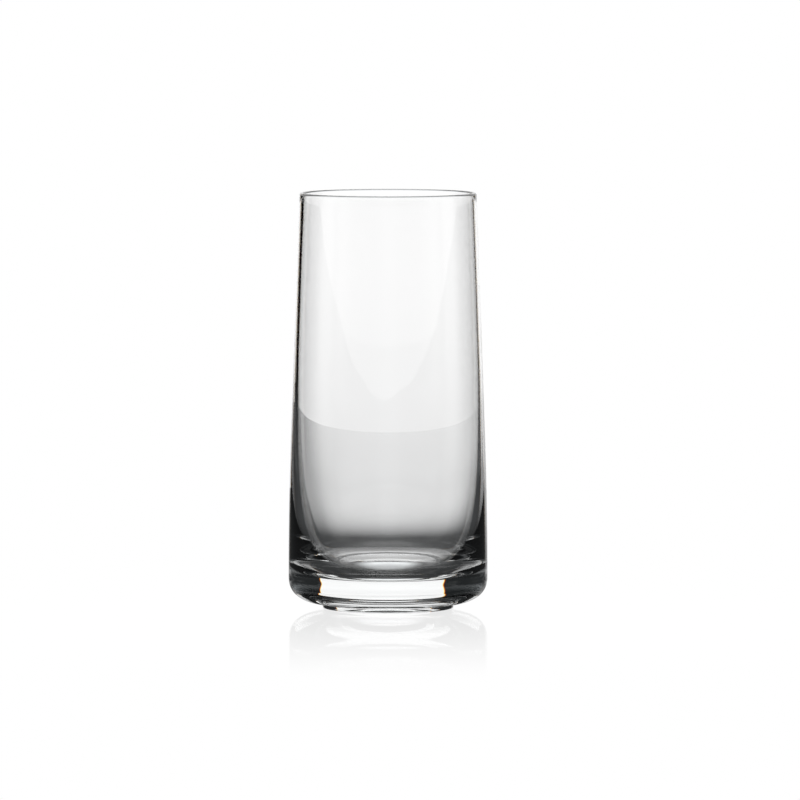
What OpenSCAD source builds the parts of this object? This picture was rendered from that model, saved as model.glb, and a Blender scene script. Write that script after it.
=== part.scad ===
// Highball glass: one piece of clear glass with a thick base and a low foot.
// It stands on z = 0, its axis is the Z axis, and all lengths are millimetres.

/* [Overall] */
// Height from the table to the top of the rim
height = 150; // [120:1:190]
// Outer diameter at the rim
rim_diameter = 63.9; // [57:0.1:70]
// Outer diameter at the widest place, just above the heel
body_diameter = 71.9; // [66:0.1:82]
// Height of the widest place, where the side is upright
widest_at = 11.5; // [9:0.1:20]
// Height above which the side is straight
straight_from = 62; // [40:1:90]

/* [Foot and heel] */
// Outer diameter of the foot
foot_diameter = 47.2; // [44:0.2:56]
// Height of the foot under the heel
foot_height = 1.7; // [1:0.1:3]
// Radius of the foot's edge
foot_edge = 0.4; // [0.2:0.1:0.8]
// Width of the ring under the foot that rests on the table
foot_ring = 2.5; // [1:0.1:8]
// Depth, at the axis, of the shallow hollow inside that ring
hollow_depth = 3.0; // [0.5:0.1:4]
// How level the hollow is near the axis, where 2 is a parabola
hollow_level_share = 1.6; // [1.2:0.1:4]
// How far the heel runs out level from the foot, where 2 is an ellipse
heel_level_share = 2.1; // [1.5:0.1:3]
// How far the heel stays upright down from the side, where 2 is an ellipse
heel_upright_share = 2.5; // [1.5:0.1:5]

/* [Wall and cavity] */
// Thickness of the wall at the rim
wall = 1.5; // [1:0.1:2.5]
// How late the wall thickens on its way down to the bowl, where 1 is evenly
swell_share = 5.9; // [1.2:0.1:9]
// Height at which the bowl starts
bowl_height = 73; // [64:1:110]
// Thickness of the glass from the table to the lowest point of the cavity
base_thickness = 11.1; // [8:0.1:24]
// How far the bowl runs out level from the axis, where 2 is an ellipse
floor_level_share = 6.7; // [2.5:0.1:9]
// How far the bowl stays upright down from the wall, where 2 is an ellipse
bowl_upright_share = 3.0; // [1.8:0.1:6]

/* [Hidden] */
$fn = 128;
// Steps from each end of a rounded corner to its middle
curve_steps = 20;
// Steps along the small edges of the rim and the foot
edge_steps = 8;
// Steps along the long gentle curves of the side and the wall
side_steps = 12;

body_radius = body_diameter / 2;
rim_radius = rim_diameter / 2;
foot_radius = foot_diameter / 2;
hollow_radius = foot_radius - foot_ring;
lip_radius = wall / 2;
lip_height = height - lip_radius;

// How much the straight side leans in for each unit of height
lean = (body_radius - rim_radius) / ((straight_from - widest_at) / 2 + lip_height - straight_from);

// Outer radius at height z: upright at the widest place, a parabola up to the
// straight side, and then a straight taper to the rim
function side_radius(z) =
    z <= widest_at ? body_radius
    : z <= straight_from ? body_radius - lean * pow(z - widest_at, 2) / (2 * (straight_from - widest_at))
    : body_radius - lean * ((straight_from - widest_at) / 2 + z - straight_from);

// The wall thickens downwards just so much that the cavity's side is upright
// where the bowl starts, so that wall and bowl meet without a crease
lean_at_bowl = lean * min(bowl_height - widest_at, straight_from - widest_at) / (straight_from - widest_at);
lower_wall = wall + lean_at_bowl * (lip_height - bowl_height) / swell_share;
bowl_radius = side_radius(bowl_height) - lower_wall;
bowl_depth = bowl_height - base_thickness;

// Points along an arc round a centre, from one angle to another
function arc(x, z, radius, from, to) =
    [for (i = [0 : edge_steps]) let (a = from + (to - from) * i / edge_steps)
        [x + radius * cos(a), z + radius * sin(a)]];

// A rounded corner on across^level + up^upright = 1, from across = 0 to up = 0,
// with its points closer together towards the middle
function corner(level, upright) = concat(
    [for (i = [0 : curve_steps]) let (across = pow(0.5, 1 / level) * sin(90 * i / curve_steps))
        [across, pow(1 - pow(across, level), 1 / upright)]],
    [for (i = [curve_steps - 1 : -1 : 0]) let (up = pow(0.5, 1 / upright) * sin(90 * i / curve_steps))
        [pow(1 - pow(up, upright), 1 / level), up]]
);

// Hollow under the foot, from the axis out to the ring that rests on the table
function hollow_curve() =
    [for (i = [0 : side_steps]) let (s = i / side_steps)
        [hollow_radius * s, hollow_depth * (1 - pow(s, hollow_level_share))]];

// Heel, from the foot, which it leaves level, to the side, which it meets upright
function heel_curve() =
    [for (p = corner(heel_level_share, heel_upright_share))
        [foot_radius + (body_radius - foot_radius) * p[0], widest_at - (widest_at - foot_height) * p[1]]];

// Side, from just above the widest place to the lip
function side_curve() = concat(
    [for (i = [1 : side_steps]) let (z = widest_at + (straight_from - widest_at) * i / side_steps)
        [side_radius(z), z]],
    [[rim_radius, lip_height]]
);

// Inside of the wall, from just under the lip down to the bowl
function wall_curve() =
    [for (i = [1 : side_steps]) let (s = i / side_steps, z = lip_height + (bowl_height - lip_height) * s)
        [side_radius(z) - wall - (lower_wall - wall) * pow(s, swell_share), z]];

// Bowl, from just under its upright start, down and in to the axis
function bowl_curve() = let (curve = corner(floor_level_share, bowl_upright_share))
    [for (i = [len(curve) - 2 : -1 : 0])
        [bowl_radius * curve[i][0], bowl_height - bowl_depth * curve[i][1]]];

// Half of the glass in section: hollow, foot, heel, side, lip, wall and bowl
module half_section() {
    polygon(concat(
        hollow_curve(),
        arc(foot_radius - foot_edge, foot_edge, foot_edge, -90, 0),
        heel_curve(),
        side_curve(),
        arc(rim_radius - lip_radius, lip_height, lip_radius, 0, 180),
        wall_curve(),
        bowl_curve()
    ));
}

// The tumbler is formed in one piece, so its foot, base, wall and lip are one
// solid turned about the axis
module tumbler() {
    color([0.86, 0.9, 0.9, 0.4])
    rotate_extrude() half_section();
}

tumbler();
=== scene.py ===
import math

import bpy
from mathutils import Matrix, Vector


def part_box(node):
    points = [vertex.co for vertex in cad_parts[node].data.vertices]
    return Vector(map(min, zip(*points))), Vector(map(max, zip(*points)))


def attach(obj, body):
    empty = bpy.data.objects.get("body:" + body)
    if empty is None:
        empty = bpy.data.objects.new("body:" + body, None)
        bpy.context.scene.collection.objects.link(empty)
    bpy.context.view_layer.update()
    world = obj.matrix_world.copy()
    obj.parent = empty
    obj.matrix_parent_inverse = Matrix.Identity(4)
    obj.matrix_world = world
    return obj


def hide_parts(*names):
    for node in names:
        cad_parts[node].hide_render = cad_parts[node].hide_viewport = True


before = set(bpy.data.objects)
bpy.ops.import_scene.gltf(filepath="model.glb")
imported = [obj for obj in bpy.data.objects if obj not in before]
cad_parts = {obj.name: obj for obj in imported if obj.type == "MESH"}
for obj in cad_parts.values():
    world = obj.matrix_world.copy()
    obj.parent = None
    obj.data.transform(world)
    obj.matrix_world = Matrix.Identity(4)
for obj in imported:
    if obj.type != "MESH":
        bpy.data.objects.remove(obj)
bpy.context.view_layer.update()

scene = bpy.context.scene
scene.view_settings.view_transform = "Standard"


# The tumbler
# One gob of clear glass, formed in a turning mould: a low foot with a hollow under it, a rounded heel,
# a thick base, a thin wall and a fire-polished lip. Its half section is drawn and then spun.

foot_low, rim_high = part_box("tumbler")
height = rim_high.z - foot_low.z
body_radius = rim_high.x
rim_radius = 0.03195
widest_at = 0.0115
straight_from = 0.062
foot_radius = 0.0236
foot_height = 0.0017
foot_edge = 0.0004
foot_ring = 0.0025
hollow_depth = 0.003
hollow_level_share = 1.60
heel_level_share = 2.10
heel_upright_share = 2.50
wall = 0.0015
swell_share = 5.90
bowl_height = 0.073
base_thickness = 0.0111
floor_level_share = 6.70
bowl_upright_share = 3.00
steps_round = 256
same_place = 1e-5

lip_radius = wall / 2
lip_height = height - lip_radius
lean = (body_radius - rim_radius) / ((straight_from - widest_at) / 2 + lip_height - straight_from)


def side_radius(z):
    """Outer radius: upright at the widest place, a parabola, and then a straight taper."""
    if z <= widest_at:
        return body_radius
    if z <= straight_from:
        return body_radius - lean * (z - widest_at) ** 2 / (2 * (straight_from - widest_at))
    return body_radius - lean * ((straight_from - widest_at) / 2 + z - straight_from)


hollow_radius = foot_radius - foot_ring
# The wall thickens downwards just so much that the cavity's side is upright where the bowl starts
lean_at_bowl = lean * min(bowl_height - widest_at, straight_from - widest_at) / (straight_from - widest_at)
lower_wall = wall + lean_at_bowl * (lip_height - bowl_height) / swell_share
bowl_radius = side_radius(bowl_height) - lower_wall
bowl_depth = bowl_height - base_thickness


def shares(steps, first=1):
    """Even steps up to 1, from the first of them or from 0."""
    return [i / steps for i in range(first, steps + 1)]


def corner(level, upright, steps):
    """Points on across ** level + up ** upright = 1, from across = 0 to up = 0."""
    curve = []
    for s in shares(steps, 0):
        across = 0.5 ** (1 / level) * math.sin(math.pi / 2 * s)
        curve.append((across, (1 - across ** level) ** (1 / upright)))
    for s in reversed([0] + shares(steps)[:-1]):
        up = 0.5 ** (1 / upright) * math.sin(math.pi / 2 * s)
        curve.append(((1 - up ** upright) ** (1 / level), up))
    return curve


def half_section():
    """The outline as (radius, height) points in metres, from under the foot to the cavity's floor."""
    points = [(0, hollow_depth)]
    for s in shares(28):
        points.append((hollow_radius * s, hollow_depth * (1 - s ** hollow_level_share)))
    for s in shares(8, 0):
        angle = math.pi / 2 * (s - 1)
        points.append((foot_radius - foot_edge + foot_edge * math.cos(angle),
                       foot_edge + foot_edge * math.sin(angle)))
    for across, up in corner(heel_level_share, heel_upright_share, 26):
        points.append((foot_radius + (body_radius - foot_radius) * across,
                       widest_at - (widest_at - foot_height) * up))
    for s in shares(24):
        z = widest_at + (straight_from - widest_at) * s
        points.append((side_radius(z), z))
    for s in shares(26):
        z = straight_from + (lip_height - straight_from) * s
        points.append((side_radius(z), z))
    for s in shares(12):
        angle = math.pi * s
        points.append((rim_radius - lip_radius + lip_radius * math.cos(angle),
                       lip_height + lip_radius * math.sin(angle)))
    for s in shares(26):
        z = lip_height + (bowl_height - lip_height) * s
        points.append((side_radius(z) - wall - (lower_wall - wall) * s ** swell_share, z))
    for across, up in corner(floor_level_share, bowl_upright_share, 48)[-2::-1]:
        points.append((bowl_radius * across, bowl_height - bowl_depth * up))
    return points


def draw_outline(name, points):
    """A line of vertices in the XZ plane, drawn by extruding one vertex along the points."""
    bpy.ops.object.select_all(action="DESELECT")
    bpy.ops.mesh.primitive_plane_add(size=0.001)
    line = bpy.context.active_object
    line.name = name
    bpy.ops.object.mode_set(mode="EDIT")
    bpy.ops.mesh.merge(type="CENTER")
    here = points[0]
    bpy.ops.transform.translate(value=(here[0], 0, here[1]))
    for there in points[1:]:
        step = (there[0] - here[0], 0, there[1] - here[1])
        bpy.ops.mesh.extrude_vertices_move(TRANSFORM_OT_translate={"value": step})
        here = there
    bpy.ops.object.mode_set(mode="OBJECT")
    return line


glass = draw_outline("glass_tumbler", half_section())

# The edge of the hollow and the root of the foot are rounded, as fire polishing leaves them
for vertex in glass.data.vertices:
    at_hollow = math.hypot(vertex.co.x - hollow_radius, vertex.co.z) < same_place
    at_root = math.hypot(vertex.co.x - foot_radius, vertex.co.z - foot_height) < same_place
    vertex.select = at_hollow or at_root
for edge in glass.data.edges:
    edge.select = False
bpy.ops.object.mode_set(mode="EDIT")
bpy.ops.mesh.select_mode(type="VERT")
bpy.ops.mesh.bevel(offset=foot_edge, segments=5, affect="VERTICES")
bpy.ops.mesh.select_all(action="SELECT")
bpy.ops.mesh.spin(steps=steps_round, angle=2 * math.pi, center=(0, 0, 0), axis=(0, 0, 1))
bpy.ops.mesh.select_all(action="SELECT")
bpy.ops.mesh.remove_doubles(threshold=1e-6)
bpy.ops.mesh.normals_make_consistent(inside=False)
bpy.ops.object.mode_set(mode="OBJECT")
bpy.ops.object.shade_smooth()


# Clear glass: colourless, with the faint unevenness that forming leaves in its surface

def clear_glass():
    material = bpy.data.materials.new("clear_glass")
    material.use_nodes = True
    nodes, links = material.node_tree.nodes, material.node_tree.links
    nodes.clear()
    output = nodes.new("ShaderNodeOutputMaterial")
    surface = nodes.new("ShaderNodeBsdfPrincipled")
    surface.inputs["Base Color"].default_value = (1, 1, 1, 1)
    surface.inputs["Roughness"].default_value = 0
    surface.inputs["IOR"].default_value = 1.5
    surface.inputs["Transmission Weight"].default_value = 1
    links.new(surface.outputs["BSDF"], output.inputs["Surface"])

    # Pulled out along the axis and turned in the mould, the skin has long shallow waves
    place = nodes.new("ShaderNodeTexCoord")
    stretched = nodes.new("ShaderNodeMapping")
    stretched.inputs["Scale"].default_value = (1, 1, 0.35)
    links.new(place.outputs["Object"], stretched.inputs["Vector"])
    waves = nodes.new("ShaderNodeTexNoise")
    waves.inputs["Scale"].default_value = 90
    waves.inputs["Detail"].default_value = 1
    links.new(stretched.outputs["Vector"], waves.inputs["Vector"])
    skin = nodes.new("ShaderNodeBump")
    skin.inputs["Strength"].default_value = 1
    skin.inputs["Distance"].default_value = 0.00002
    links.new(waves.outputs["Fac"], skin.inputs["Height"])
    links.new(skin.outputs["Normal"], surface.inputs["Normal"])

    # A trace of iron takes a little of the red, most where the light passes through the thick base
    tint = nodes.new("ShaderNodeVolumeAbsorption")
    tint.inputs["Color"].default_value = (0.86, 1, 0.98, 1)
    tint.inputs["Density"].default_value = 1.2
    links.new(tint.outputs["Volume"], output.inputs["Volume"])
    return material


glass.data.materials.clear()
glass.data.materials.append(clear_glass())
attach(glass, "root")
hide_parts("tumbler")


# The table
# A round white top, polished. The camera sees it white, with a faint mirror image of the glass. To all
# other rays it shows a glow of painted light and shade, and a mirror of the panel under painted shade,
# set by place and angle to fit the front view.

table_radius = 9

bpy.ops.object.select_all(action="DESELECT")
bpy.ops.mesh.primitive_circle_add(vertices=128, radius=table_radius, fill_type="NGON")
table = bpy.context.active_object
table.name = "table"


def empty_tree(owner):
    """The nodes of a material or world, with the ones it starts with taken out."""
    owner.use_nodes = True
    owner.node_tree.nodes.clear()
    return owner.node_tree


def fill(tree, socket, value):
    """Sets a number or colour on a socket, or links another socket to it."""
    if isinstance(value, bpy.types.NodeSocket):
        tree.links.new(value, socket)
    else:
        socket.default_value = value


def node(tree, kind, **values):
    """A node with some of its sockets filled."""
    new = tree.nodes.new("ShaderNode" + kind)
    for name, value in values.items():
        fill(tree, new.inputs[name], value)
    return new


def calculate(tree, operation, *values):
    """A Math node on sockets or plain numbers."""
    new = node(tree, "Math")
    new.operation = operation
    for socket, value in zip(new.inputs, values):
        fill(tree, socket, value)
    return new.outputs["Value"]


def multiply(tree, first, *others):
    """All the values multiplied."""
    for other in others:
        first = calculate(tree, "MULTIPLY", first, other)
    return first


def largest(tree, first, *others):
    """The largest of the values."""
    for other in others:
        first = calculate(tree, "MAXIMUM", first, other)
    return first


def rest_of(tree, share):
    """What is left of 1."""
    return calculate(tree, "SUBTRACT", 1.0, share)


def smooth_step(tree, value, low, high, out_low=0.0, out_high=1.0):
    """A Map Range node that eases from one value to another."""
    new = node(tree, "MapRange")
    new.interpolation_type = "SMOOTHSTEP"
    fill(tree, new.inputs["Value"], value)
    for name, number in (("From Min", low), ("From Max", high), ("To Min", out_low), ("To Max", out_high)):
        new.inputs[name].default_value = number
    return new.outputs["Result"]


def join_shaders(tree, kind, *parts):
    """An Add or Mix node on shaders. For Mix, the share of the second shader comes first."""
    new = node(tree, kind)
    for socket, part in zip(new.inputs, parts):
        fill(tree, socket, part)
    return new.outputs["Shader"]


white_table = bpy.data.materials.new("white_table")
tree = empty_tree(white_table)
place = node(tree, "TexCoord").outputs["Object"]
length = node(tree, "VectorMath")
length.operation = "LENGTH"
fill(tree, length.inputs[0], place)
distance = length.outputs["Value"]
where = node(tree, "SeparateXYZ", Vector=place)
across, deep = where.outputs["X"], where.outputs["Y"]

# How far round from straight behind the glass, and how low the table is looked at, in degrees
turn = calculate(tree, "DEGREES", calculate(tree, "ABSOLUTE", calculate(tree, "ARCTAN2", across, deep)))
facing = node(tree, "LayerWeight", Blend=0.5).outputs["Facing"]
slant = calculate(tree, "DEGREES", calculate(tree, "ARCSINE", rest_of(tree, facing)))
not_low = smooth_step(tree, slant, 8, 13)

# For the camera: white, with a mirror image that fades within a quarter of a metre
image_share = smooth_step(tree, distance, 0.03, 0.25, 0.2, 0.0)
white = node(tree, "Emission", Color=(1, 1, 1, 1)).outputs["Emission"]
shine = node(tree, "BsdfGlossy", Color=(1, 1, 1, 1), Roughness=0.02).outputs["BSDF"]
seen = join_shaders(tree, "MixShader", image_share, white, shine)

# For all other rays, first a glow of painted light and shade. It is dark near the glass, a painted
# shadow of the glass, and paler in front and further out, though not at a low angle. It is paler from
# above too. Under the hollow is a bright spot of painted light, which gets weaker from above.
shade = smooth_step(tree, distance, 0.038, 0.1, 0.035, 0.06)
clear_of_glass = smooth_step(tree, distance, 0.03, 0.06)
from_above = smooth_step(tree, slant, 36, 60, 0.0, 0.8)
in_front = multiply(tree, smooth_step(tree, deep, -0.2, -0.03, 0.55, 0.0), not_low)
pale = multiply(tree, clear_of_glass, largest(tree, from_above, in_front))
far_glow = smooth_step(tree, distance, 0.08, 0.36, 0.0, 0.6)
further_out = multiply(tree, far_glow, smooth_step(tree, slant, 14, 20))
spot = smooth_step(tree, distance, 0.007, 0.016, 1.0, 0.05)
spot_by_angle = smooth_step(tree, slant, 17, 40, 1.15, 0.5)
under_foot = calculate(tree, "LESS_THAN", distance, foot_radius)
painted_light_under_hollow = multiply(tree, spot, spot_by_angle, under_foot)
strength = largest(tree, shade, pale, further_out, painted_light_under_hollow)
glow = node(tree, "Emission", Color=(0.97, 1, 1.02, 1), Strength=strength).outputs["Emission"]

# How much of the panel the mirror keeps, a painted shade on the mirror and on the room seen past the
# table. Behind the glass it is less to the left and the right, by slopes that start beside the axis. In
# front it is little at a low angle.
slope_start = 0.022
left_slope = calculate(tree, "DIVIDE", calculate(tree, "ADD", across, slope_start), deep)
right_slope = calculate(tree, "DIVIDE", calculate(tree, "SUBTRACT", across, slope_start), deep)
left_part = smooth_step(tree, left_slope, -0.22, 0.01, 0.55, 1.0)
left_end = smooth_step(tree, left_slope, -0.33, -0.28, 0.3, 1.0)
far_left = smooth_step(tree, left_slope, -0.6, -0.4, 0.3, 1.0)
right_loss = multiply(tree, smooth_step(tree, distance, 0.2, 0.5, 0.45, 0.0),
                      smooth_step(tree, right_slope, 0.12, 0.45))
right_end = smooth_step(tree, right_slope, 0.45, 0.75, 1.0, 0.15)
kept_behind = multiply(tree, left_part, left_end, far_left, right_end, rest_of(tree, right_loss))
front_loss = smooth_step(tree, turn, 110, 140, 0.0, 0.9)
kept_in_front = rest_of(tree, multiply(tree, front_loss, rest_of(tree, not_low)))
behind = smooth_step(tree, turn, 48, 80, 1.0, 0.0)
kept = calculate(tree, "ADD", multiply(tree, kept_behind, behind),
                 multiply(tree, kept_in_front, rest_of(tree, behind)))

# The mirror: strong at a low angle, weaker near the glass as a painted shade, and none under the foot
low_angle = smooth_step(tree, slant, 11, 30, 0.80, 0.05)
lowest_angle = smooth_step(tree, slant, 7, 11, 1.0, 0.915)
off_the_glass = smooth_step(tree, distance, 0.024, 0.062, 0.55, 1.0)
outside_foot = calculate(tree, "GREATER_THAN", distance, foot_radius)
polish = multiply(tree, low_angle, lowest_angle, off_the_glass, outside_foot, kept)
mirror = node(tree, "BsdfGlossy", Color=polish, Roughness=0.0).outputs["BSDF"]

# By about a metre away the table has faded out, and the room is seen past it, dimmed by the same
# share, a painted shade
gone = smooth_step(tree, distance, 0.173, 1.005)
beyond = node(tree, "BsdfTransparent", Color=kept).outputs["BSDF"]
lit = join_shaders(tree, "AddShader", glow, mirror)
fading = join_shaders(tree, "MixShader", gone, lit, beyond)
to_camera = node(tree, "LightPath").outputs["Is Camera Ray"]
node(tree, "OutputMaterial", Surface=join_shaders(tree, "MixShader", to_camera, fading, seen))
table.data.materials.append(white_table)


# The bright panel
# An upright sheet of light half a metre behind the glass, hidden from the camera. The render bends all
# colours alike, so the panel's colours end one after another, which paints the fringes of real glass.

panel_left, panel_right, panel_top, panel_away = -0.225, 0.307, 1.49, 0.537
panel_edge, colour_step = 0.004, 0.003
panel_size = 6
top_fade = 0.25
unlit = 0.002

bpy.ops.object.select_all(action="DESELECT")
bpy.ops.mesh.primitive_plane_add(size=panel_size, location=(0, panel_away, 0),
                                 rotation=(math.pi / 2, 0, 0))
panel = bpy.context.active_object
panel.name = "panel"
panel.visible_camera = False
bpy.ops.object.transform_apply(location=True, rotation=True, scale=True)

bright_panel = bpy.data.materials.new("bright_panel")
tree = empty_tree(bright_panel)
where = node(tree, "SeparateXYZ", Vector=node(tree, "TexCoord").outputs["Object"])
across = where.outputs["X"]
rise = calculate(tree, "ABSOLUTE", where.outputs["Z"])

# Red reaches furthest, then green, then blue
below_top = smooth_step(tree, rise, (1 - top_fade) * panel_top, (1 + top_fade) * panel_top, 1.0, 0.0)
colour = node(tree, "CombineColor")
for channel, inset in (("Red", 0), ("Green", colour_step), ("Blue", 2 * colour_step)):
    left, right = panel_left + inset, panel_right - inset
    from_left = smooth_step(tree, across, left - panel_edge, left + panel_edge)
    from_right = smooth_step(tree, across, right - panel_edge, right + panel_edge, 1.0, 0.0)
    fill(tree, colour.inputs[channel], multiply(tree, from_left, from_right, below_top))

# A little dimmer at its foot, and dimmer again high up
at_foot = smooth_step(tree, rise, 0.0, 0.03, 0.98, 1.0)
above_foot = smooth_step(tree, rise, 0.01, 0.1, 0.985, 1.05)
high_up = smooth_step(tree, rise, 0.3, 0.7, 1.0, 0.42)
strength = multiply(tree, at_foot, above_foot, high_up)
glow = node(tree, "Emission", Color=colour.outputs["Color"], Strength=strength).outputs["Emission"]
red = node(tree, "SeparateColor", Color=colour.outputs["Color"]).outputs["Red"]
past_edge = calculate(tree, "LESS_THAN", red, unlit)
clear = node(tree, "BsdfTransparent").outputs["BSDF"]
node(tree, "OutputMaterial", Surface=join_shaders(tree, "MixShader", past_edge, glow, clear))
panel.data.materials.append(bright_panel)


# The room
# White to the camera. Through the glass it is dark, with three upright windows, a pale band low down
# in front, and light from overhead and below. Angles are in degrees, round from straight behind.

world = bpy.data.worlds.new("studio")
scene.world = world
tree = empty_tree(world)
where = node(tree, "SeparateXYZ", Vector=node(tree, "TexCoord").outputs["Generated"])
azimuth = calculate(tree, "DEGREES", calculate(tree, "ARCTAN2", where.outputs["X"], where.outputs["Y"]))
elevation = calculate(tree, "DEGREES", calculate(tree, "ARCSINE", where.outputs["Z"]))


def window(middle, half_width=14, edge=8):
    """A bright upright window round one azimuth, with soft edges."""
    off = calculate(tree, "WRAP", calculate(tree, "SUBTRACT", azimuth, middle), 180.0, -180.0)
    return smooth_step(tree, calculate(tree, "ABSOLUTE", off), half_width - edge, half_width + edge, 1.0, 0.0)


def light(strength, color=(1, 1, 1, 1)):
    """A background of some strength."""
    return node(tree, "Background", Strength=strength, Color=color).outputs["Background"]


# Seen through the glass
window_light = smooth_step(tree, elevation, 0, 12, 0.6, 0.35)
under_window_top = smooth_step(tree, elevation, 58, 82, 1.0, 0.0)
windows = multiply(tree, largest(tree, window(90), window(-90), window(180)), window_light, under_window_top)
to_the_front = smooth_step(tree, calculate(tree, "ABSOLUTE", azimuth), 75, 120, 0.0, 0.45)
pale_band = multiply(tree, to_the_front, smooth_step(tree, elevation, 2, 8, 1.0, 0.0))
from_below = smooth_step(tree, elevation, -13, -8, 1.10, 0.0)
overhead = smooth_step(tree, elevation, 35, 75)
lights = light(largest(tree, windows, pale_band, from_below, overhead))
dimness = light(0.011, (0.88, 1, 1.05, 1))
through_glass = join_shaders(tree, "AddShader", lights, dimness)

# Mirrored in the outside of the glass: a first mirror image shows white above the table's level,
# and all others are dark with light from high up
in_front = smooth_step(tree, where.outputs["Y"], -0.1, 0.3, 0.09, 0.05)
high_up = smooth_step(tree, elevation, 8, 14)
others = light(largest(tree, in_front, high_up), (0.94, 1, 1.03, 1))
path = node(tree, "LightPath").outputs
first_image = multiply(tree, calculate(tree, "LESS_THAN", path["Glossy Depth"], 1.5),
                       calculate(tree, "GREATER_THAN", elevation, 0.0))
mirrored = join_shaders(tree, "MixShader", first_image, others, light(1.0))
been_in_glass = calculate(tree, "GREATER_THAN", path["Transmission Depth"], 0.5)
to_glass = join_shaders(tree, "MixShader", been_in_glass, mirrored, through_glass)
to_all = join_shaders(tree, "MixShader", path["Is Camera Ray"], to_glass, light(1.0))
node(tree, "OutputWorld", Surface=to_all)


# The camera and the lamp
# The camera stands a long way off and a little above the rim, looking slightly down. A weak lamp
# hangs over the table.

camera_distance = 2.7
camera_height = 0.268
camera_pitch = math.radians(4.2)
sensor_width = 36
pixels_per_metre = 2770
image_pixels = 800
axis_pixel = (388.1, 607.1)
far_enough = 30
lamp_height = 1.5
lamp_size = 1.2
lamp_power = 3

# The lens that shows a metre at the middle of the glass as so many pixels
depth = camera_distance * math.cos(camera_pitch) - (height / 2 - camera_height) * math.sin(camera_pitch)
focal_pixels = pixels_per_metre * depth
forward = camera_distance * math.cos(camera_pitch) + camera_height * math.sin(camera_pitch)
upward = camera_distance * math.sin(camera_pitch) - camera_height * math.cos(camera_pitch)
foot_pixel = image_pixels / 2 - focal_pixels * upward / forward

bpy.ops.object.camera_add(location=(0, -camera_distance, camera_height),
                          rotation=(math.pi / 2 - camera_pitch, 0, 0))
camera = bpy.context.active_object
camera.data.sensor_width = sensor_width
camera.data.lens = focal_pixels * sensor_width / image_pixels
camera.data.shift_x = (image_pixels / 2 - axis_pixel[0]) / image_pixels
camera.data.shift_y = (axis_pixel[1] - foot_pixel) / image_pixels
camera.data.clip_end = far_enough
scene.camera = camera

bpy.ops.object.light_add(type="AREA", location=(0, 0, lamp_height))
lamp = bpy.context.active_object
lamp.data.size = lamp_size
lamp.data.energy = lamp_power
